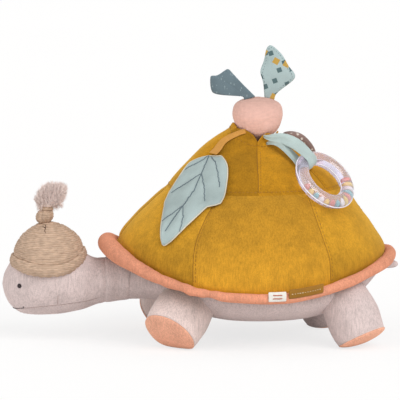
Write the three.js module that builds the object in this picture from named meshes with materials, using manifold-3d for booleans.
// A plush turtle: a padded shell of sewn panels with a pouch on top, on a stuffed body with a
// head in a knitted hat, four legs and a tail. A knitted radish stands in the pouch, and a leaf
// and a rattle ring hang from its edge.
// Millimetres, +Z up, the head towards -X and the turtle's left side towards -Y.
import * as THREE from "three";
import { mergeVertices } from "three/addons/utils/BufferGeometryUtils.js";
import Module from "manifold-3d";

const wasm = await Module();
wasm.setup();

// Clearances shared by the pieces
const seamGap = 0.4; // between two sewn pieces
const fillGap = 0.6; // between a cover and its stuffing
const weldDistance = 0.01; // corners of a cut solid that lie closer than this are one
const floorCut = 0.5; // depth of the flat under each foot
const softReach = 6; // height at which a foot begins to spread on the floor
const softSink = 2.5; // how far below the floor a spreading foot would tend to

// Rim: the padded piping round the foot of the shell, seen from above an ellipse
const rimCentreX = 52;
const rimHalfLength = 150;
const rimHalfWidth = 122;
const rimLowX = 75; // where the rim hangs lowest
const rimLowZ = 60;
const rimFrontZ = 102;
const rimTailZ = 90;
const rimFrontPower = 2.5;
const rimTailPower = 1.7;
const rimSideRadius = 5.5;
const rimFrontRadius = 10.5;
const rimTailRadius = 6.5;
const rimSeatShare = 0.85; // height of the panels' foot on the rim, of the rim's radius

// Shell: horizontal sections are ellipses, whose ends move inwards with height
const panelThickness = 2.4;
const seamZ = 164;
const mouthX = 61;
const mouthRadius = 29;
const foldZ = 208;
const foldFrontRise = 18; // extra height of the fold line on the head side
const petalRise = 13;
const petalFrontLoss = 9;
const petalNotchRise = 4;
const panelCount = 6;
const lowerSeamAngle = 3; // degrees from +X to one seam of the lower panels
const crownSeamAngle = 27; // degrees from +X to one seam of the crown, round the pouch's middle
const shellHeightShares = [0, 0.25, 0.4, 0.55, 0.7, 0.85, 1, 1.12];
const frontInwardShares = [0.046, 0.046, 0.123, 0.281, 0.469, 0.618, 0.781, 0.985];
const tailInwardShares = [0.036, 0.04, 0.147, 0.287, 0.444, 0.651, 1, 1];
const sideInwardShares = [0.027, 0.091, 0.183, 0.306, 0.473, 0.7, 1, 1];

// Pouch lining: a bag inside the mouth
const pouchRadius = 26;
const pouchFloorZ = 171;
const pouchWall = 1.6;
const pouchTopDrop = 5; // below the fold line

// Body
const coverThickness = 2.5;
const neckX = -88;
const neckZ = 65.5;
const neckRadius = 24.5;
const neckBend = 12; // degrees each way
const bodyEndX = 194;
const bodyHalfWidth = 101;
const bellyZ = 17.5;
const tailRootZ = 72;
// For each section: place along the body, bottom height from belly to tail root, half width,
// and the height of the widest level from the bottom to the shell
const bodySectionShares = [
  [0, 0.45, 0.243, 0.45],
  [0.064, 0.465, 0.3, 0.5],
  [0.135, 0.465, 0.44, 0.6],
  [0.206, 0.375, 0.62, 0.7],
  [0.294, 0.175, 0.8, 0.8],
  [0.401, 0.029, 0.94, 0.8],
  [0.525, 0, 1, 0.8],
  [0.649, 0.02, 0.99, 0.8],
  [0.755, 0.12, 0.9, 0.75],
  [0.844, 0.34, 0.74, 0.7],
  [0.915, 0.61, 0.52, 0.6],
  [0.965, 0.87, 0.29, 0.5],
  [0.989, 1, 0.13, 0.5],
];
const bodyColumns = 20;
const underShellGap = 0.6;

// Head: sections along X, from the nose to the neck
const noseX = -210.5;
const headBottomZ = 25.5;
const headHeight = 93;
const headHalfWidth = 41;
const noseZ = 60;
// For each section: place from nose to neck, bottom, top, half width
const headSectionShares = [
  [0.02, 0.25, 0.5, 0.31],
  [0.061, 0.135, 0.6, 0.52],
  [0.155, 0.03, 0.79, 0.75],
  [0.28, 0, 0.93, 0.92],
  [0.4, 0, 0.995, 1],
  [0.52, 0.01, 0.965, 0.98],
  [0.62, 0.035, 0.86, 0.91],
  [0.71, 0.06, 0.745, 0.8],
  [0.79, 0.1, 0.68, 0.69],
  [0.9, 0.15, 0.665, 0.615],
  [1, 0.175, 0.685, 0.597],
];
const headColumns = 20;
const headOpeningRadius = 8;

// Legs
const legFrontRadius = 32;
const legRearRadius = 29.5;
const legFrontLength = 48; // from the pivot to the sole
const legRearLength = 50;
const legBend = 12; // degrees each way
const legColumns = 16;
const soleDome = 6;
// For each section: place from pivot to sole and radius
const legSectionShares = [
  [-0.35, 0.55],
  [-0.1, 0.82],
  [0.2, 0.95],
  [0.5, 1],
  [0.8, 0.98],
  [1, 0.92],
];
const legTopShare = -0.5;
const soleSectionShares = [
  [0.4, 0.93],
  [0.8, 0.6],
];
const frontSole = { x: -36, y: 78, z: 18 };
const rearSole = { x: 166.5, y: 73, z: 12 };
const farRearForward = 23; // the right rear foot stands this far ahead of the left one
const frontLegLean = { x: -0.5, y: 0.556, z: -0.665 };
const rearLegLean = { x: 0.38, y: 0.25, z: -0.87 };

// Tail
const tailX = 191.5;
const tailZ = 77.6;
const tailRadius = 4.6;
const tailLength = 19.5;

// Hat: a knitted dome over the head's top, its lower edge lower at the sides
const hatX = -161;
const hatHalfLength = 40;
const hatHalfWidth = 44.5;
const hatTopZ = 124.5;
const hatFrontEdgeZ = 91;
const hatBackEdgeZ = 99;
const hatSideEdgeZ = 81;
const brimHalfHeight = 5.4;
const brimHalfThickness = 2.8;
const knotX = -164;
const knotRadius = 8.8;
const knotHalfHeight = 7.4;
const cordRingRadius = 5.2;
const cordRadius = 2.2;
const tuftHeight = 29;
const tuftRadius = 16;
const tuftLean = 8;

// Face
const eyeX = -193;
const eyeZ = 60.5;
const eyeRadius = 2.3;
const eyeThickness = 1.2;
const stitchRadius = 0.6;
// Half of the mouth line, from its corner to under the chin: how far along the head, and how high
const mouthShares = [
  [0.186, 0.145], [0.181, 0.113], [0.139, 0.104], [0.098, 0.115],
];

// Big leaf, laid on the shell: three thin layers and a ribbon stem
const leafTopZ = 200;
const leafTipZ = 111;
const leafStand = 1; // above the shell
const leafLayer = 1.2;
const filmThickness = 0.4;
const stemWidth = 8;
const ribbonThickness = 1;
const stemTopZ = 216;
const stemAngle = -127;
// For each row of the leaf: share of the way down, left and right edges in degrees round the shell
const leafRowShares = [
  [0.01, -141, -121],
  [0.06, -154, -117],
  [0.16, -165, -114],
  [0.3, -168, -112],
  [0.43, -164, -111.5],
  [0.52, -158, -112.5],
  [0.6, -152, -119],
  [0.72, -146, -123],
  [0.85, -140, -126],
  [0.95, -136, -129],
  [1, -133, -131.5],
];
const leafColumns = 7;

// Rattle ring and its ribbon loop
const ringRadius = 28.5; // of the tube's centre line
const tubeRadius = 7;
const tubeWall = 1.8;
const ringAngle = -41;
const ringSurfaceZ = 170;
const ringSegments = 24;
const beadRadius = 2.9;
const beadCount = 6;
const beadOffset = 1.1; // outwards and downwards in the tube
const loopWidth = 14;
const loopStartWidth = 12;
const loopStartAngle = -58;
const loopStartZ = 207;
const loopGap = 0.7; // between the ribbon and the ring's tube

// Cloth tab beside the ring's ribbon
const tabAngle = 14;
const tabTopZ = 207;
const tabFootZ = 190;
const tabWidth = 20;
const tabRise = 12;
const tabThickness = 2.6;

// Labels on the rim
const whiteLabel = { angle: -81.8, width: 15, height: 10.5, lift: 3 };
const mustardLabel = { angle: -70, width: 31, height: 11.5, lift: 5 };
const labelThickness = 0.8;

// Radish
const rattleRadius = 10.5;
const gatherRadius = 3.2;
const leafThickness = 3;
const darkLeafY = -3;
const printedLeafY = 3;
// Outlines of the radish leaves, from the middle of the foot, as shares of each leaf's length
const darkLeafLength = 50;
const darkLeafFootBack = 3; // behind the bulb's middle, towards the head
const darkLeafShares = [
  [-0.16, 0], [-0.4, 0.025], [-0.88, 0.05], [-0.965, 0.15], [-0.965, 0.46], [-0.85, 0.495],
  [-0.56, 0.615], [-0.49, 0.56], [-0.29, 0.315], [-0.18, 0.26], [0.02, 0],
];
const printedLeafLength = 55;
const printedLeafFootAhead = 5;
const printedLeafShares = [
  [-0.05, 0], [-0.03, 0.11], [-0.05, 0.51], [0.033, 0.68], [0.084, 0.955], [0.156, 1],
  [0.255, 0.965], [0.43, 0.78], [0.476, 0.633], [0.6, 0.533], [0.658, 0.436], [0.624, 0.335],
  [0.45, 0.185], [0.16, 0],
];

// Colours
const mustard = 0xc9952f;
const peach = 0xeb9b7d;
const mauve = 0xc9b2ab;
const stuffingWhite = 0xf2efe9;
const knitBeige = 0xc8a98c;
const tuftMauve = 0xa98f8a;
const threadDark = 0x40383a;
const leafBlue = 0xa9beba;
const ribbonOrange = 0xdda04f;
const ribbonMint = 0xb4cdc8;
const clearTube = 0xd9d6e8;
const radishPink = 0xf0b8a8;
const slateTeal = 0x64808a;
const printMint = 0xbacfcf;
const taupe = 0x9a8078;
const labelWhite = 0xf4f1ea;
const beadColours = [0xf0d060, 0xe58a70, 0x7fb8b8, 0xf5f2ea, 0xf0d060, 0xe58a70];

const up = new THREE.Vector3(0, 0, 1);


function point(x, y, z) {
  return new THREE.Vector3(x, y, z);
}

function radians(degrees) {
  return (degrees * Math.PI) / 180;
}

function mix(a, b, share) {
  return a + (b - a) * share;
}

// A smooth curve through a table's values
function tableValue(nodes, values, at) {
  const last = nodes.length - 1;
  const clamped = Math.min(Math.max(at, nodes[0]), nodes[last]);
  let i = 0;
  while (i < last - 1 && clamped > nodes[i + 1]) i++;
  const slope = (k) => {
    const a = Math.max(k - 1, 0);
    const b = Math.min(k + 1, last);
    return (values[b] - values[a]) / (nodes[b] - nodes[a]);
  };
  const span = nodes[i + 1] - nodes[i];
  const t = (clamped - nodes[i]) / span;
  const startPart = (2 * t ** 3 - 3 * t ** 2 + 1) * values[i] + (t ** 3 - 2 * t ** 2 + t) * span * slope(i);
  const endPart = (3 * t ** 2 - 2 * t ** 3) * values[i + 1] + (t ** 3 - t ** 2) * span * slope(i + 1);
  return startPart + endPart;
}

// A closed geometry whose faces point out
function closedGeometry(points, triangles) {
  let volume = 0;
  for (const [a, b, c] of triangles) {
    volume += points[a].dot(points[b].clone().cross(points[c]));
  }
  const index = triangles.flatMap(([a, b, c]) => (volume < 0 ? [a, c, b] : [a, b, c]));
  const geometry = new THREE.BufferGeometry().setFromPoints(points);
  geometry.setIndex(index);
  return geometry;
}

// A body of rings of points, closed at both ends by a fan
function ringSolid(rows, firstPole, lastPole) {
  const columns = rows[0].length;
  const points = [firstPole, lastPole, ...rows.flat()];
  const at = (row, column) => 2 + row * columns + (column % columns);
  const triangles = [];
  const last = rows.length - 1;
  for (let c = 0; c < columns; c++) {
    triangles.push([0, at(0, c + 1), at(0, c)]);
    for (let r = 0; r < last; r++) {
      triangles.push([at(r, c), at(r, c + 1), at(r + 1, c + 1)]);
      triangles.push([at(r, c), at(r + 1, c + 1), at(r + 1, c)]);
    }
    triangles.push([1, at(last, c), at(last, c + 1)]);
  }
  return closedGeometry(points, triangles);
}

// A body of sections that follow a closed path
function loopSolid(sections) {
  const columns = sections[0].length;
  const at = (row, column) => (row % sections.length) * columns + (column % columns);
  const triangles = [];
  for (let r = 0; r < sections.length; r++) {
    for (let c = 0; c < columns; c++) {
      triangles.push([at(r, c), at(r, c + 1), at(r + 1, c + 1)]);
      triangles.push([at(r, c), at(r + 1, c + 1), at(r + 1, c)]);
    }
  }
  return closedGeometry(sections.flat(), triangles);
}

// A sheet between two grids of points, closed along its edges
function sheetSolid(outer, inner) {
  const rows = outer.length;
  const columns = outer[0].length;
  const top = ([r, c]) => r * columns + c;
  const under = ([r, c]) => rows * columns + r * columns + c;
  const triangles = [];
  const quad = (a, b, c, d) => triangles.push([a, b, c], [a, c, d]);
  for (let r = 0; r + 1 < rows; r++) {
    for (let c = 0; c + 1 < columns; c++) {
      quad(top([r, c]), top([r, c + 1]), top([r + 1, c + 1]), top([r + 1, c]));
      quad(under([r, c]), under([r + 1, c]), under([r + 1, c + 1]), under([r, c + 1]));
    }
  }
  const border = [];
  for (let c = 0; c < columns; c++) border.push([0, c]);
  for (let r = 1; r < rows; r++) border.push([r, columns - 1]);
  for (let c = columns - 2; c >= 0; c--) border.push([rows - 1, c]);
  for (let r = rows - 2; r > 0; r--) border.push([r, 0]);
  border.forEach((a, i) => {
    const b = border[(i + 1) % border.length];
    quad(top(b), top(a), under(a), under(b));
  });
  return closedGeometry([...outer.flat(), ...inner.flat()], triangles);
}

function toSolid(geometry) {
  const bare = geometry.clone();
  bare.deleteAttribute("normal");
  bare.deleteAttribute("uv");
  const merged = mergeVertices(bare);
  return new wasm.Manifold(
    new wasm.Mesh({
      numProp: 3,
      vertProperties: merged.attributes.position.array,
      triVerts: new Uint32Array(merged.index.array),
    }),
  );
}

// The largest body of a solid, as a geometry: a cut can leave crumbs
function toGeometry(solid) {
  const bodies = solid.decompose();
  const largest = bodies.reduce((a, b) => (b.volume() > a.volume() ? b : a));
  const mesh = largest.getMesh();
  const geometry = new THREE.BufferGeometry();
  geometry.setAttribute("position", new THREE.BufferAttribute(new Float32Array(mesh.vertProperties), 3));
  geometry.setIndex(new THREE.BufferAttribute(new Uint32Array(mesh.triVerts), 1));
  return withoutSlivers(geometry);
}

// Joins the corners that a cut leaves almost on each other, and drops the faces this flattens
function withoutSlivers(geometry) {
  const merged = mergeVertices(geometry, weldDistance);
  const corners = Array.from(merged.index.array);
  const kept = [];
  for (let i = 0; i < corners.length; i += 3) {
    const face = corners.slice(i, i + 3);
    if (new Set(face).size === 3) kept.push(...face);
  }
  merged.setIndex(kept);
  return merged;
}

function cut(geometry, cutters) {
  return toGeometry(cutters.reduce((solid, cutter) => solid.subtract(toSolid(cutter)), toSolid(geometry)));
}

// Each built piece is kept here under its name
const pieces = new Map();

function addPiece(name, geometry, colour, roughness = 0.95) {
  const material = new THREE.MeshStandardMaterial({ color: colour, roughness, metalness: 0 });
  const mesh = new THREE.Mesh(geometry, material);
  mesh.name = name;
  pieces.set(name, mesh);
}

// Rim

// Height of the shell's underside, which the rim follows: a bent sheet, low near the middle
function undersideZ(x) {
  const ahead = (rimLowX - x) / (rimLowX - (rimCentreX - rimHalfLength));
  const behind = (x - rimLowX) / (rimCentreX + rimHalfLength - rimLowX);
  if (ahead > 0) return rimLowZ + (rimFrontZ - rimLowZ) * Math.min(ahead, 1.2) ** rimFrontPower;
  return rimLowZ + (rimTailZ - rimLowZ) * Math.min(behind, 1.2) ** rimTailPower;
}

function rimRadius(angle) {
  const c = Math.cos(angle);
  const front = Math.max(0, -c) ** 4 * (rimFrontRadius - rimSideRadius);
  const tail = Math.max(0, c) ** 4 * (rimTailRadius - rimSideRadius);
  return rimSideRadius + front + tail;
}

function rimCentre(angle) {
  const x = rimCentreX + rimHalfLength * Math.cos(angle);
  return point(x, rimHalfWidth * Math.sin(angle), undersideZ(x));
}

// Level direction square to the rim, away from the shell
function rimOutward(angle) {
  return point(Math.cos(angle) / rimHalfLength, Math.sin(angle) / rimHalfWidth, 0).normalize();
}

function rimRing(angle, radius, sides) {
  const centre = rimCentre(angle);
  const outward = rimOutward(angle);
  const ring = [];
  for (let s = 0; s < sides; s++) {
    const turn = ((s + 0.5) / sides) * 2 * Math.PI;
    ring.push(
      centre
        .clone()
        .addScaledVector(outward, radius * Math.cos(turn))
        .addScaledVector(up, radius * Math.sin(turn)),
    );
  }
  return ring;
}

const gridAngle = (step) => radians(lowerSeamAngle + 7.5 * step); // the seams lie on this grid
const rimSides = 8;

function makeRim() {
  const sections = [];
  for (let k = 0; k < 48; k++) sections.push(rimRing(gridAngle(k), rimRadius(gridAngle(k)), rimSides));
  addPiece("rim_piping", loopSolid(sections), peach);
}

// Shell

function shellFootZ(angle) {
  return rimCentre(angle).z + rimSeatShare * rimRadius(angle);
}

function foldLineZ(angle) {
  return foldZ + foldFrontRise * Math.max(0, -Math.cos(angle)) ** 2;
}

// The shell's outer surface at a height
function shellPoint(angle, z) {
  const share = (z - rimLowZ) / (foldZ - rimLowZ);
  const inward = (shares) => tableValue(shellHeightShares, shares, share);
  const frontX = mix(rimCentreX - rimHalfLength, mouthX - mouthRadius, inward(frontInwardShares));
  const tailX = mix(rimCentreX + rimHalfLength, mouthX + mouthRadius, inward(tailInwardShares));
  const halfWidth = mix(rimHalfWidth, mouthRadius, inward(sideInwardShares));
  const centreX = (frontX + tailX) / 2;
  return point(centreX + ((tailX - frontX) / 2) * Math.cos(angle), halfWidth * Math.sin(angle), z);
}

function shellNormal(angle, z) {
  const stepAngle = radians(0.5);
  const stepZ = (foldZ - rimLowZ) * 0.003;
  const around = shellPoint(angle + stepAngle, z).sub(shellPoint(angle - stepAngle, z));
  const upward = shellPoint(angle, z + stepZ).sub(shellPoint(angle, z - stepZ));
  return around.cross(upward).normalize();
}

function shellInside(angle, z, depth) {
  return shellPoint(angle, z).addScaledVector(shellNormal(angle, z), -depth);
}

// Half the space between two panels, as an angle at this height
function gapAngle(angle, z) {
  const out = shellPoint(angle, z);
  return (0.8 * seamGap) / Math.hypot(out.x - mouthX, out.y);
}

// Radish bulb: radius at each height, of the bulb's radius and height
const bulbRadius = 26.5;
const bulbTopZ = 257;
const bulbHeight = 46; // from the top to the root's start
const rootLength = 30;
const bulbHeightShares = [0, 0.1, 0.24, 0.48, 0.66, 0.86, 0.97, 1];
const bulbRadiusShares = [0.24, 0.43, 0.72, 0.95, 1, 0.87, 0.5, 0.16];

function bulbRadiusAt(z) {
  return bulbRadius * tableValue(bulbHeightShares, bulbRadiusShares, (z - bulbTopZ + bulbHeight) / bulbHeight);
}

// How far the petal edge has risen at this angle: 0 at a crown seam, 1 in mid panel
function petalShare(angle) {
  const fromSeam = angle - radians(crownSeamAngle);
  return Math.abs(Math.sin((panelCount / 2) * fromSeam)) ** 0.8;
}

// The petal's outer top edge leans on the radish in mid panel
function petalTop(angle) {
  const front = Math.max(0, -Math.cos(angle)) ** 2;
  const rise = mix(petalNotchRise, petalRise - petalFrontLoss * front, petalShare(angle));
  const z = foldLineZ(angle) + Math.max(rise, petalNotchRise);
  const leaning = bulbRadiusAt(z) + seamGap + panelThickness;
  const radius = mix(mouthRadius - panelThickness, leaning, petalShare(angle));
  return point(mouthX + radius * Math.cos(angle), radius * Math.sin(angle), z);
}

function petalInside(angle) {
  const outward = point(Math.cos(angle), Math.sin(angle), 0);
  return petalTop(angle).addScaledVector(outward, -panelThickness);
}

// Columns of one panel: its angles at a height, drawn in by half a gap at the seams
function panelAngles(start, z) {
  const angles = [];
  for (let k = 0; k <= 8; k++) angles.push(start + radians(7.5 * k));
  angles[0] += gapAngle(angles[0], z(angles[0]));
  angles[8] -= gapAngle(angles[8], z(angles[8]));
  return angles;
}

function panelRows(start, rowCount, rowZ, depth, shellAngle = (angle) => angle) {
  const rows = [];
  for (let r = 0; r <= rowCount; r++) {
    const z = (angle) => rowZ(angle, r / rowCount);
    const place = (angle) => shellInside(shellAngle(angle, z(angle)), z(angle), depth);
    rows.push(panelAngles(start, z).map(place));
  }
  return rows;
}

// The crown's seams run straight out from the pouch's middle, so its columns do too
function crownColumn(direction, z) {
  let angle = direction;
  for (let turn = 0; turn < 12; turn++) {
    const out = shellPoint(angle, z);
    const off = direction - Math.atan2(out.y, out.x - mouthX);
    angle += Math.atan2(Math.sin(off), Math.cos(off));
  }
  return angle;
}

function lowerRowZ(angle, share) {
  return mix(shellFootZ(angle), seamZ - seamGap / 2, share);
}

function crownRowZ(angle, share) {
  return mix(seamZ + seamGap / 2, foldLineZ(angle), share);
}

const sideNames = ["tail_right", "right", "head_right", "head_left", "left", "tail_left"];
const crownNames = ["right_tail", "right_head", "head", "left_head", "left_tail", "tail"];

function makePanels() {
  for (let p = 0; p < panelCount; p++) {
    const lowerStart = gridAngle(8 * p);
    const lowerOuter = panelRows(lowerStart, 3, lowerRowZ, 0);
    const lower = sheetSolid(lowerOuter, panelRows(lowerStart, 3, lowerRowZ, panelThickness));
    addPiece("shell_lower_panel_" + sideNames[p], lower, mustard);
    const crownStart = radians(crownSeamAngle + (p * 360) / panelCount);
    const outer = panelRows(crownStart, 3, crownRowZ, 0, crownColumn);
    const inner = panelRows(crownStart, 3, crownRowZ, panelThickness, crownColumn);
    const edgeAngles = panelAngles(crownStart, foldLineZ);
    edgeAngles[0] += seamGap / mouthRadius;
    edgeAngles[8] -= seamGap / mouthRadius;
    outer.push(edgeAngles.map(petalTop));
    inner.push(edgeAngles.map(petalInside));
    addPiece("shell_crown_panel_" + crownNames[p], sheetSolid(outer, inner), mustard);
  }
}

// Pouch lining and stuffing of the shell, on every second column of the panels' grid

const fillColumns = 24;
const fillAngles = Array.from({ length: fillColumns }, (_, k) => gridAngle(2 * k));

function pouchRing(radius, z) {
  return fillAngles.map((a) => point(mouthX + radius * Math.cos(a), radius * Math.sin(a), z(a)));
}

// Rings of the lining's wall from its mouth down, at a distance outside its inner face
function pouchWallRings(outside) {
  const topZ = (a) => foldLineZ(a) - pouchTopDrop;
  const wallZ = (share) => (a) => mix(topZ(a), pouchFloorZ - outside, share);
  return [
    pouchRing(pouchRadius * 0.94 + outside, wallZ(0)),
    pouchRing(pouchRadius * 0.96 + outside, wallZ(0.4)),
    pouchRing(pouchRadius * 0.92 + outside, wallZ(0.8)),
    pouchRing(pouchRadius * 0.84 + outside, wallZ(1)),
  ];
}

function makePouch() {
  const rows = [...pouchWallRings(pouchWall).reverse(), ...pouchWallRings(0)];
  const outerFloor = point(mouthX, 0, pouchFloorZ - pouchWall);
  const innerFloor = point(mouthX, 0, pouchFloorZ);
  addPiece("pouch_lining", ringSolid(rows, outerFloor, innerFloor), mustard);
}

function makeShellFill() {
  const depth = panelThickness + fillGap;
  const rows = [];
  // underside, from the middle outwards
  for (const share of [0.4, 0.8]) {
    rows.push(
      fillAngles.map((a) => {
        const rim = rimCentre(a);
        const x = mix(rimCentreX, rim.x, share);
        return point(x, rim.y * share, undersideZ(x) + seamGap);
      }),
    );
  }
  rows.push(
    fillAngles.map((a) => {
      const inward = rimRadius(a) + fillGap;
      const foot = rimCentre(a).addScaledVector(rimOutward(a), -inward);
      return foot.setZ(undersideZ(foot.x) + seamGap);
    }),
  );
  for (let r = 0; r <= 3; r++) rows.push(fillAngles.map((a) => shellInside(a, lowerRowZ(a, r / 3), depth)));
  const crownDepth = depth + seamGap; // its columns aren't the crown's own
  for (let r = 1; r <= 2; r++) rows.push(fillAngles.map((a) => shellInside(a, crownRowZ(a, r / 3), crownDepth)));
  const hole = pouchWallRings(pouchWall + fillGap);
  rows.push(...hole);
  const middle = point(rimCentreX, 0, undersideZ(rimCentreX) + seamGap);
  const holeFloor = point(mouthX, 0, pouchFloorZ - pouchWall - fillGap);
  addPiece("shell_stuffing", ringSolid(rows, middle, holeFloor), stuffingWhite);
}

// Body

function bodyForm(grow) {
  const rows = bodySectionShares.map(([along, bottomShare, widthShare, midShare]) => {
    const x = mix(neckX, bodyEndX, along) + (along > 0.5 ? grow : -grow);
    const ceiling = undersideZ(x) - underShellGap + grow;
    const bottom = mix(bellyZ, tailRootZ, bottomShare);
    const middle = mix(bottom, undersideZ(x), midShare);
    const below = middle - bottom + grow;
    const halfWidth = bodyHalfWidth * widthShare + grow;
    const row = [];
    for (let k = 0; k < bodyColumns; k++) {
      const turn = (k / bodyColumns) * 2 * Math.PI;
      const z = middle - (Math.cos(turn) > 0 ? below : neckRadius + grow) * Math.cos(turn);
      row.push(point(x, halfWidth * Math.sin(turn), Math.min(z, ceiling)));
    }
    return row;
  });
  return ringSolid(rows, point(neckX - grow, 0, neckZ), point(bodyEndX + grow, 0, tailZ));
}

function ball(x, z, radius) {
  return new THREE.SphereGeometry(radius, 18, 12).translate(x, 0, z);
}

function makeBody() {
  const neckSocket = ball(neckX, neckZ, neckRadius + 2 * seamGap);
  const tailSocket = ball(tailX, tailZ, tailRadius + 2 * seamGap);
  const cavity = bodyForm(-coverThickness);
  addPiece("body_cover", cut(bodyForm(0), [cavity, neckSocket, tailSocket]), mauve);
  const fillSocket = ball(neckX, neckZ, neckRadius + 2 * seamGap + fillGap);
  const tailEnd = ball(tailX, tailZ, tailRadius + 2 * seamGap + coverThickness);
  const stuffing = cut(bodyForm(-coverThickness - fillGap), [fillSocket, tailEnd]);
  addPiece("body_stuffing", stuffing, stuffingWhite);
}

// Head

function headRows(grow) {
  return headSectionShares.map(([along, bottomShare, topShare, widthShare]) => {
    const x = mix(noseX, neckX, along);
    const bottom = headBottomZ + headHeight * bottomShare - grow;
    const top = headBottomZ + headHeight * topShare + grow;
    const row = [];
    for (let k = 0; k < headColumns; k++) {
      const turn = (k / headColumns) * 2 * Math.PI;
      const z = mix(bottom, top, (1 - Math.cos(turn)) / 2);
      row.push(point(x, (headHalfWidth * widthShare + grow) * Math.sin(turn), z));
    }
    return row;
  });
}

function neckRing(x, radius) {
  const row = [];
  for (let k = 0; k < headColumns; k++) {
    const turn = (k / headColumns) * 2 * Math.PI;
    row.push(point(x, radius * Math.sin(turn), neckZ - radius * Math.cos(turn)));
  }
  return row;
}

function headForm(grow) {
  const rows = headRows(grow);
  const radius = neckRadius + grow;
  for (const tilt of [25, 50, 72]) {
    rows.push(neckRing(neckX + radius * Math.sin(radians(tilt)), radius * Math.cos(radians(tilt))));
  }
  return ringSolid(rows, point(noseX - grow, 0, noseZ), point(neckX + radius, 0, neckZ));
}

// The hollow of the head cover, which opens through the end of the neck
function headHollow(shrink, throughNeck) {
  const rows = headRows(-shrink).slice(1);
  const reach = neckRadius + (throughNeck ? shrink : -2 * shrink);
  rows.push(neckRing(neckX + neckRadius / 2, neckRadius * 0.6));
  rows.push(neckRing(neckX + reach, headOpeningRadius - (throughNeck ? 0 : fillGap)));
  const nose = point(mix(noseX, neckX, headSectionShares[0][0]) + shrink, 0, noseZ);
  return ringSolid(rows, nose, point(neckX + reach, 0, neckZ));
}

function makeHead() {
  addPiece("head_cover", cut(headForm(0), [headHollow(coverThickness, true)]), mauve);
  addPiece("head_stuffing", headHollow(coverThickness + fillGap, false), stuffingWhite);
}

// Legs

// A foot spreads where it would reach below the floor
function settle(z, lowest) {
  if (z >= softReach) return z;
  const span = softReach + softSink;
  return Math.max(lowest, span * Math.exp((z - softReach) / span) - softSink);
}

// Carries a form made along a leg's own axis to its place: `along` is measured from the pivot
function placeOnLeg(leg, rows, poles, lowest) {
  const turn = new THREE.Quaternion().setFromUnitVectors(up, leg.lean);
  const place = (p) => {
    const placed = p.clone().applyQuaternion(turn).add(leg.pivot);
    placed.z = settle(placed.z, lowest) + leg.drop;
    return placed;
  };
  return ringSolid(
    rows.map((row) => row.map(place)),
    place(poles[0]),
    place(poles[1]),
  );
}

function legRing(radius, along, columns) {
  const row = [];
  for (let k = 0; k < columns; k++) {
    const turn = (k / columns) * 2 * Math.PI;
    row.push(point(radius * Math.cos(turn), radius * Math.sin(turn), along));
  }
  return row;
}

function legForm(leg, shrink, lengthen, columns) {
  const rows = legSectionShares.map(([along, radius]) =>
    legRing(leg.radius * radius - shrink, leg.length * along + (along === 1 ? lengthen : 0), columns),
  );
  const top = point(0, 0, leg.length * legTopShare + shrink);
  const end = point(0, 0, leg.length + lengthen);
  return placeOnLeg(leg, rows, [top, end], shrink > 0 ? shrink - leg.drop : -softSink);
}

function soleForm(leg) {
  const edge = leg.length + seamGap;
  const rows = [legRing(leg.radius * legSectionShares.at(-1)[1], edge, legColumns)];
  for (const [along, radius] of soleSectionShares) {
    rows.push(legRing(leg.radius * radius * 0.92, edge + soleDome * along, legColumns));
  }
  return placeOnLeg(leg, rows, [point(0, 0, edge), point(0, 0, edge + soleDome)], -softSink);
}

// All that a leg must stay clear of: the body and what lies above the rim's underside
function legCutters(leg, clearance) {
  const rows = [0.5, 0.9, 1.15].map((share) =>
    fillAngles.map((a) => {
      const rim = rimCentre(a);
      const x = mix(rimCentreX, rim.x, share);
      return point(x, rim.y * share, undersideZ(x) - rimRadius(a) - clearance);
    }),
  );
  rows.push(rows[2].map((p) => p.clone().setZ(foldZ)));
  const middle = point(rimCentreX, 0, undersideZ(rimCentreX) - rimSideRadius - clearance);
  const shellBlock = ringSolid(rows, middle, point(rimCentreX, 0, foldZ));
  const cutters = [];
  for (const share of [-1, -0.5, 0, 0.5, 1]) {
    for (const form of [bodyForm(clearance), shellBlock]) {
      const turned = form.clone().translate(-leg.pivot.x, -leg.pivot.y, -leg.pivot.z);
      turned.rotateY(radians(legBend * share));
      cutters.push(turned.translate(leg.pivot.x, leg.pivot.y, leg.pivot.z));
    }
  }
  return cutters;
}

function makeLeg(leg) {
  const reach = 2 * rimHalfLength; // half side of the block that cuts the feet
  const floor = new THREE.BoxGeometry(2 * reach, 2 * reach, reach);
  floor.translate(rimCentreX, 0, -reach / 2);
  const cutLeg = (form, clearance) => cut(form, [...legCutters(leg, clearance), floor]);
  const hollow = cutLeg(legForm(leg, coverThickness, coverThickness, 10), seamGap + coverThickness);
  addPiece(leg.name + "_cover", cut(cutLeg(legForm(leg, 0, 0, legColumns), seamGap), [hollow]), mauve);
  const inset = coverThickness + 2 * fillGap;
  addPiece(leg.name + "_stuffing", cutLeg(legForm(leg, inset, -seamGap, 10), seamGap + inset), stuffingWhite);
  addPiece(leg.name + "_sole", cut(soleForm(leg), [floor]), peach);
}

// A leg's pivot lies up its axis from the sole; the drop brings its lowest point under the floor
function legAt(name, sole, lean, side, forward, radius, length) {
  const direction = point(lean.x, lean.y * side, lean.z).normalize();
  const pivot = point(sole.x - forward, sole.y * side, sole.z).addScaledVector(direction, -length);
  const leg = { name, lean: direction, pivot, radius, length, drop: 0 };
  const lowest = [legForm(leg, 0, 0, legColumns), soleForm(leg)].map((form) => {
    form.computeBoundingBox();
    return form.boundingBox.min.z;
  });
  leg.drop = -floorCut - Math.min(...lowest);
  return leg;
}

const legs = [
  legAt("front_left_leg", frontSole, frontLegLean, -1, 0, legFrontRadius, legFrontLength),
  legAt("front_right_leg", frontSole, frontLegLean, 1, 0, legFrontRadius, legFrontLength),
  legAt("rear_left_leg", rearSole, rearLegLean, -1, 0, legRearRadius, legRearLength),
  legAt("rear_right_leg", rearSole, rearLegLean, 1, farRearForward, legRearRadius, legRearLength),
];

// Tail: a short stub whose root is round about its pivot

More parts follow.
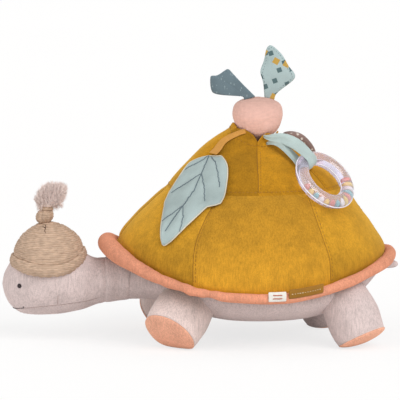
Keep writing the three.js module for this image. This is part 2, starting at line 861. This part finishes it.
function makeTail() {
  const rows = [];
  const ring = (x, radius) => {
    const row = [];
    for (let k = 0; k < 10; k++) {
      const turn = (k / 10) * 2 * Math.PI;
      row.push(point(tailX + x, radius * Math.sin(turn), tailZ + radius * Math.cos(turn)));
    }
    return row;
  };
  for (const tilt of [-60, -30, 0, 28]) {
    rows.push(ring(tailRadius * Math.sin(radians(tilt)), tailRadius * Math.cos(radians(tilt))));
  }
  rows.push(ring(tailLength * 0.6, tailRadius * 0.88), ring(tailLength * 0.93, tailRadius * 0.7));
  const root = point(tailX - tailRadius, 0, tailZ);
  addPiece("tail", ringSolid(rows, root, point(tailX + tailLength, 0, tailZ)), mauve);
}

// Hat

function hatEdgeZ(turn) {
  const levelZ = mix(hatFrontEdgeZ, hatBackEdgeZ, (1 + Math.cos(turn)) / 2);
  return mix(levelZ, hatSideEdgeZ, Math.sin(turn) ** 2);
}

function hatRing(share, lift) {
  const row = [];
  for (let k = 0; k < 24; k++) {
    const turn = (k / 24) * 2 * Math.PI;
    const x = hatX + hatHalfLength * share * Math.cos(turn);
    row.push(point(x, hatHalfWidth * share * Math.sin(turn), mix(hatEdgeZ(turn), hatTopZ, lift)));
  }
  return row;
}

function makeHat() {
  const head = headForm(seamGap);
  const crownRows = [0, 22, 44, 64, 80].map((tilt) => hatRing(Math.cos(radians(tilt)), Math.sin(radians(tilt))));
  const crown = ringSolid(crownRows, point(hatX, 0, hatFrontEdgeZ), point(hatX, 0, hatTopZ));
  addPiece("hat_crown", cut(crown, [head]), knitBeige);
  const brimSections = [];
  for (let k = 0; k < 24; k++) {
    const turn = (k / 24) * 2 * Math.PI;
    const section = [];
    for (let s = 0; s < 6; s++) {
      const round = ((s + 0.5) / 6) * 2 * Math.PI;
      const out = brimHalfThickness * (Math.cos(round) + 0.3);
      const x = hatX + (hatHalfLength + out) * Math.cos(turn);
      const z = hatEdgeZ(turn) - seamGap + brimHalfHeight * (Math.sin(round) - 1);
      section.push(point(x, (hatHalfWidth + out) * Math.sin(turn), z));
    }
    brimSections.push(section);
  }
  addPiece("hat_brim", cut(loopSolid(brimSections), [head]), knitBeige);
  const knotZ = hatTopZ + seamGap + knotHalfHeight;
  const knot = new THREE.SphereGeometry(knotRadius, 12, 8).rotateX(Math.PI / 2);
  knot.scale(1, 1, knotHalfHeight / knotRadius).translate(knotX, 0, knotZ);
  addPiece("hat_knot", cut(knot, []), knitBeige);
  const cordZ = knotZ + knotHalfHeight + cordRadius - seamGap;
  const cord = new THREE.TorusGeometry(cordRingRadius, cordRadius, 6, 14).translate(knotX, 0, cordZ);
  addPiece("hat_binding_cord", cord, knitBeige);
  const rootZ = knotZ + knotHalfHeight + seamGap;
  const tuftSections = [
    [0.01, 0.13], [0.13, 0.14], [0.24, 0.5], [0.42, 0.88], [0.66, 1], [0.88, 0.8],
  ];
  const rows = tuftSections.map(([lift, radiusShare]) => {
    const row = [];
    for (let k = 0; k < 12; k++) {
      const turn = (k / 12) * 2 * Math.PI;
      const x = knotX + tuftLean * Math.max(0, lift - 0.13) + tuftRadius * radiusShare * Math.cos(turn);
      row.push(point(x, tuftRadius * radiusShare * Math.sin(turn), rootZ + tuftHeight * lift));
    }
    return row;
  });
  const top = point(knotX + tuftLean, 0, rootZ + tuftHeight);
  addPiece("hat_tuft", ringSolid(rows, point(knotX, 0, rootZ), top), tuftMauve);
}

// Face

// A point of the head's side at a place along it and a height
function headSide(x, z, side) {
  const nodes = headSectionShares.map((row) => mix(noseX, neckX, row[0]));
  const value = (column) => tableValue(nodes, headSectionShares.map((row) => row[column]), x);
  const bottom = headBottomZ + headHeight * value(1);
  const top = headBottomZ + headHeight * value(2);
  const level = Math.min(Math.max((2 * (z - bottom)) / (top - bottom) - 1, -1), 1);
  return point(x, side * headHalfWidth * value(3) * Math.sqrt(1 - level ** 2), Math.max(z, bottom));
}

function headSideNormal(x, z, side) {
  const step = 0.5 * eyeRadius;
  const along = headSide(x + step, z, side).sub(headSide(x - step, z, side));
  const upward = headSide(x, z + step, side).sub(headSide(x, z - step, side));
  return along.cross(upward).normalize().multiplyScalar(-side);
}

function makeFace() {
  for (const [name, side] of [["eye_left", -1], ["eye_right", 1]]) {
    const normal = headSideNormal(eyeX, eyeZ, side);
    const eye = new THREE.SphereGeometry(eyeRadius, 10, 6).rotateX(Math.PI / 2);
    eye.scale(1, 1, eyeThickness / 2 / eyeRadius);
    eye.applyQuaternion(new THREE.Quaternion().setFromUnitVectors(up, normal));
    const centre = headSide(eyeX, eyeZ, side).addScaledVector(normal, eyeThickness / 2 + seamGap);
    addPiece(name, cut(eye.translate(...centre), [headForm(seamGap / 2)]), threadDark, 0.4);
  }
  const lifted = (place, side) => {
    const normal = headSideNormal(place.x, place.z, side);
    return headSide(place.x, place.z, side).addScaledVector(normal, stitchRadius + seamGap);
  };
  const line = mouthShares.map(([along, high]) => {
    return { x: mix(noseX, neckX, along), z: headBottomZ + headHeight * high };
  });
  const left = line.map((place) => lifted(place, -1));
  const right = line.map((place) => lifted(place, 1)).reverse();
  const chinX = line.at(-1).x - 2 * stitchRadius;
  const chin = headSide(chinX, 0, 1).setY(0);
  chin.z -= stitchRadius + seamGap;
  chin.x -= stitchRadius;
  const curve = new THREE.CatmullRomCurve3([...left, chin, ...right]);
  addPiece("mouth_stitch", tubeAlong(curve.getPoints(24), stitchRadius, 5), threadDark);
}

// A round tube along points, closed at its ends
function tubeAlong(path, radius, sides) {
  const rows = path.map((place, i) => {
    const ahead = path[Math.min(i + 1, path.length - 1)];
    const behind = path[Math.max(i - 1, 0)];
    const along = ahead.clone().sub(behind).normalize();
    const across = point(along.z, 0, -along.x).lengthSq() > 0.01 ? point(along.z, 0, -along.x) : up.clone();
    across.normalize();
    const lift = along.clone().cross(across).normalize();
    const row = [];
    for (let k = 0; k < sides; k++) {
      const turn = (k / sides) * 2 * Math.PI;
      const offset = across.clone().multiplyScalar(radius * Math.cos(turn));
      row.push(place.clone().add(offset).addScaledVector(lift, radius * Math.sin(turn)));
    }
    return row;
  });
  return ringSolid(rows, path[0], path.at(-1));
}

// Big leaf

function leafRows(stand) {
  return leafRowShares.map(([down, left, right]) => {
    const z = mix(leafTopZ, leafTipZ, down) - seamGap;
    const row = [];
    for (let c = 0; c < leafColumns; c++) {
      row.push(shellInside(radians(mix(left, right, c / (leafColumns - 1))), z, -stand));
    }
    return row;
  });
}

function stemRows(stand) {
  const rows = [];
  for (let r = 0; r <= 3; r++) {
    const z = mix(stemTopZ, leafTopZ + seamGap, r / 3);
    const middle = shellInside(radians(stemAngle), z, -stand);
    const around = point(-Math.sin(radians(stemAngle)), Math.cos(radians(stemAngle)), 0);
    rows.push([-0.5, 0, 0.5].map((side) => middle.clone().addScaledVector(around, stemWidth * side)));
  }
  return rows;
}

function makeLeaf() {
  const filmStand = leafStand + leafLayer + seamGap;
  const frontStand = filmStand + filmThickness + seamGap;
  addPiece("leaf_back", sheetSolid(leafRows(leafStand + leafLayer), leafRows(leafStand)), leafBlue);
  addPiece("leaf_crinkle_film", sheetSolid(leafRows(filmStand + filmThickness), leafRows(filmStand)), stuffingWhite);
  addPiece("leaf_front", sheetSolid(leafRows(frontStand + leafLayer), leafRows(frontStand)), leafBlue);
  const stand = leafStand + seamGap;
  addPiece("leaf_stem_ribbon", sheetSolid(stemRows(stand + ribbonThickness), stemRows(stand)), ribbonOrange);
}

// Rattle ring

const shellSamples = [];
for (let a = -90; a < 30; a += 2) {
  for (let share = 0; share <= 1; share += 0.03) {
    const z = mix(shellFootZ(radians(a)), foldLineZ(radians(a)), share);
    shellSamples.push({ at: shellPoint(radians(a), z), normal: shellNormal(radians(a), z) });
  }
}

function nearestSample(place) {
  return shellSamples.reduce((a, b) => (b.at.distanceToSquared(place) < a.at.distanceToSquared(place) ? b : a));
}

function heightOverShell(place) {
  const sample = nearestSample(place);
  return place.clone().sub(sample.at).dot(sample.normal);
}

// The ring lies on its ribbon, flat on the shell's slope
const ringAxis = shellNormal(radians(ringAngle), ringSurfaceZ);
const loopStart = shellInside(radians(loopStartAngle), loopStartZ, -(leafStand + 2 * loopGap));
const ringCentre = shellPoint(radians(ringAngle), ringSurfaceZ);
const ringSide = loopStart.clone().sub(ringCentre).projectOnPlane(ringAxis).normalize();
const ringAcross = ringAxis.clone().cross(ringSide);

function onRing(turn, centre) {
  return centre
    .clone()
    .addScaledVector(ringSide, ringRadius * Math.cos(turn))
    .addScaledVector(ringAcross, ringRadius * Math.sin(turn));
}

function lowestOverShell(centre) {
  let lowest = Infinity;
  for (let k = 0; k < 36; k++) lowest = Math.min(lowest, heightOverShell(onRing((k / 36) * 2 * Math.PI, centre)));
  return lowest;
}

const ringStand = tubeRadius + 2 * loopGap + ribbonThickness;
for (let pass = 0; pass < 4; pass++) {
  ringCentre.addScaledVector(ringAxis, ringStand - lowestOverShell(ringCentre));
}

// Carries a form made round +Z with +X towards the mouth to the ring's place
function placeOnRing(geometry) {
  const frame = new THREE.Matrix4().makeBasis(ringSide, ringAcross, ringAxis).setPosition(ringCentre);
  return geometry.applyMatrix4(frame);
}

function ringHalf(side) {
  const arc = (radius, count, from) => {
    const points = [];
    for (let k = 0; k <= count; k++) {
      const turn = mix(0, Math.PI, from === 0 ? k / count : 1 - k / count);
      const height = side * (seamGap / 2 + (radius - seamGap / 2) * Math.sin(turn));
      points.push(new THREE.Vector2(ringRadius + radius * Math.cos(turn), height));
    }
    return points;
  };
  const profile = [...arc(tubeRadius, 5, 0), ...arc(tubeRadius - tubeWall, 4, 1)];
  const rows = [];
  for (let k = 0; k < ringSegments; k++) {
    const turn = (k / ringSegments) * 2 * Math.PI;
    rows.push(profile.map((p) => point(p.x * Math.cos(turn), p.x * Math.sin(turn), p.y)));
  }
  return placeOnRing(loopSolid(rows));
}

function makeRing() {
  addPiece("ring_upper_half", ringHalf(1), clearTube, 0.1);
  addPiece("ring_lower_half", ringHalf(-1), clearTube, 0.1);
  const downhill = up.clone().negate().projectOnPlane(ringAxis).normalize();
  const lowTurn = Math.atan2(downhill.dot(ringAcross), downhill.dot(ringSide));
  const pitch = (2 * beadRadius + seamGap) / ringRadius;
  for (let b = 0; b < beadCount; b++) {
    const turn = lowTurn + (b - (beadCount - 1) / 2) * pitch;
    const radius = ringRadius + beadOffset;
    const bead = new THREE.SphereGeometry(beadRadius, 8, 6).rotateX(Math.PI / 2);
    bead.translate(radius * Math.cos(turn), radius * Math.sin(turn), -beadOffset);
    addPiece("bead_" + (b + 1), placeOnRing(bead), beadColours[b], 0.3);
  }
}

// The ribbon goes out over the tube, through the ring and back under it
function makeLoop() {
  const tubeCentre = onRing(0, ringCentre);
  const turnRadius = tubeRadius + loopGap + ribbonThickness / 2;
  // how far the tube curves towards the ring's middle across the ribbon's width
  const ringCurveDepth = ringRadius - Math.sqrt(ringRadius ** 2 - (loopWidth / 2) ** 2);
  const stations = [];
  const rise = (leafStand + 2 * ribbonThickness) / 2;
  const normal = shellNormal(radians(loopStartAngle), loopStartZ);
  const upperStart = loopStart.clone().addScaledVector(normal, rise);
  stations.push({ at: upperStart, width: loopStartWidth });
  for (let turn = 75; turn <= 285; turn += 30) {
    const inHole = Math.max(0, -Math.cos(radians(turn))) * ringCurveDepth;
    const at = tubeCentre
      .clone()
      .addScaledVector(ringSide, turnRadius * Math.cos(radians(turn)) - inHole)
      .addScaledVector(ringAxis, turnRadius * Math.sin(radians(turn)));
    stations.push({ at, width: loopWidth });
  }
  const under = stations.at(-1).at;
  const halfway = under.clone().lerp(loopStart, 0.5);
  const sample = nearestSample(halfway);
  halfway.addScaledVector(sample.normal, leafStand + loopGap - heightOverShell(halfway));
  stations.push({ at: halfway, width: (loopWidth + loopStartWidth) / 2 });
  stations.push({ at: loopStart.clone(), width: loopStartWidth });
  const face = (side) =>
    stations.map(({ at, width }, i) => {
      const ahead = stations[Math.min(i + 1, stations.length - 1)].at;
      const behind = stations[Math.max(i - 1, 0)].at;
      const across = ringAcross;
      const out = ahead.clone().sub(behind).cross(across).normalize();
      return [-0.5, 0.5].map((share) =>
        at
          .clone()
          .addScaledVector(across, width * share)
          .addScaledVector(out, (ribbonThickness / 2) * side),
      );
    });
  addPiece("ring_ribbon", sheetSolid(face(1), face(-1)), ribbonMint);
}

// Tab

function makeTab() {
  const rows = (extra) => {
    const grid = [];
    for (let r = 0; r <= 5; r++) {
      const share = r / 5;
      const stand = leafStand + extra + tabRise * Math.sin(Math.PI * share) ** 0.8;
      const middle = shellInside(radians(tabAngle), mix(tabTopZ, tabFootZ, share), -stand);
      const around = point(-Math.sin(radians(tabAngle)), Math.cos(radians(tabAngle)), 0);
      grid.push([-0.5, 0, 0.5].map((side) => middle.clone().addScaledVector(around, tabWidth * side)));
    }
    return grid;
  };
  addPiece("cloth_tab", sheetSolid(rows(tabThickness), rows(0)), taupe);
}

// Labels

function makeLabel(name, label, colour) {
  const grid = (extra) => {
    const halfAngle = label.width / 2 / rimHalfWidth;
    return [-0.5, 0, 0.5].map((level) => {
      const row = [];
      for (let c = 0; c <= 4; c++) {
        const angle = radians(label.angle) + halfAngle * (c / 2 - 1);
        const out = rimRadius(angle) + seamGap + extra;
        const at = rimCentre(angle).addScaledVector(rimOutward(angle), out);
        row.push(at.addScaledVector(up, label.lift + label.height * level));
      }
      return row;
    });
  };
  addPiece(name, sheetSolid(grid(labelThickness), grid(0)), colour);
}

// Radish

function makeRadish() {
  const tipZ = pouchFloorZ + seamGap;
  const rootZ = bulbTopZ - bulbHeight;
  const cavityZ = rootZ + bulbHeight * 0.58;
  const cavityRadius = rattleRadius + fillGap;
  const profile = [
    new THREE.Vector2(0, tipZ),
    new THREE.Vector2(bulbRadius * 0.07, mix(tipZ, rootZ, 0.15)),
    new THREE.Vector2(bulbRadius * 0.12, mix(tipZ, rootZ, 0.6)),
  ];
  bulbHeightShares.forEach((height, i) => {
    profile.push(new THREE.Vector2(bulbRadius * bulbRadiusShares[i], rootZ + bulbHeight * height));
  });
  profile.push(new THREE.Vector2(gatherRadius, bulbTopZ - seamGap));
  for (const tilt of [72, 40, 5, -30, -60]) {
    const turn = radians(tilt);
    profile.push(new THREE.Vector2(cavityRadius * Math.cos(turn), cavityZ + cavityRadius * Math.sin(turn)));
  }
  profile.push(new THREE.Vector2(0, cavityZ - cavityRadius));
  const rows = profile.slice(1, -1).map((p) => {
    const row = [];
    for (let k = 0; k < 16; k++) {
      const turn = (k / 16) * 2 * Math.PI;
      row.push(point(mouthX + p.x * Math.cos(turn), p.x * Math.sin(turn), p.y));
    }
    return row;
  });
  const bulb = ringSolid(rows, point(mouthX, 0, tipZ), point(mouthX, 0, cavityZ - cavityRadius));
  addPiece("radish_bulb", bulb, radishPink);
  const rattle = new THREE.SphereGeometry(rattleRadius, 10, 8).rotateX(Math.PI / 2);
  addPiece("radish_rattle_capsule", rattle.translate(mouthX, 0, cavityZ - seamGap / 2), stuffingWhite, 0.4);
}

function radishLeaf(name, shares, length, footX, y, colour) {
  const corners = shares.map(([across, lift]) => new THREE.Vector2(length * across, length * lift));
  const outline = new THREE.Shape(corners);
  const leaf = new THREE.ExtrudeGeometry(outline, { depth: leafThickness, bevelEnabled: false });
  leaf.rotateX(Math.PI / 2);
  leaf.translate(footX, y + leafThickness / 2, bulbTopZ + 2 * seamGap);
  addPiece(name, leaf, colour);
}

makeRim();
makePanels();
makePouch();
makeShellFill();
makeBody();
makeHead();
for (const leg of legs) makeLeg(leg);
makeTail();
makeHat();
makeFace();
makeLeaf();
makeRing();
makeLoop();
makeTab();
makeLabel("white_label", whiteLabel, labelWhite);
makeLabel("mustard_label", mustardLabel, mustard);
makeRadish();
radishLeaf("radish_dark_leaf", darkLeafShares, darkLeafLength, mouthX - darkLeafFootBack, darkLeafY, slateTeal);
radishLeaf("radish_printed_leaf", printedLeafShares, printedLeafLength, mouthX + printedLeafFootAhead, printedLeafY, printMint);

const turtle = new THREE.Group();
turtle.name = "plush_turtle";
for (const mesh of pieces.values()) turtle.add(mesh);

// The part stands on the floor with the middle of its plan at the origin
const bounds = new THREE.Box3().setFromObject(turtle);
const middle = bounds.getCenter(new THREE.Vector3());
for (const mesh of pieces.values()) mesh.geometry.translate(-middle.x, -middle.y, -bounds.min.z);

export default turtle;
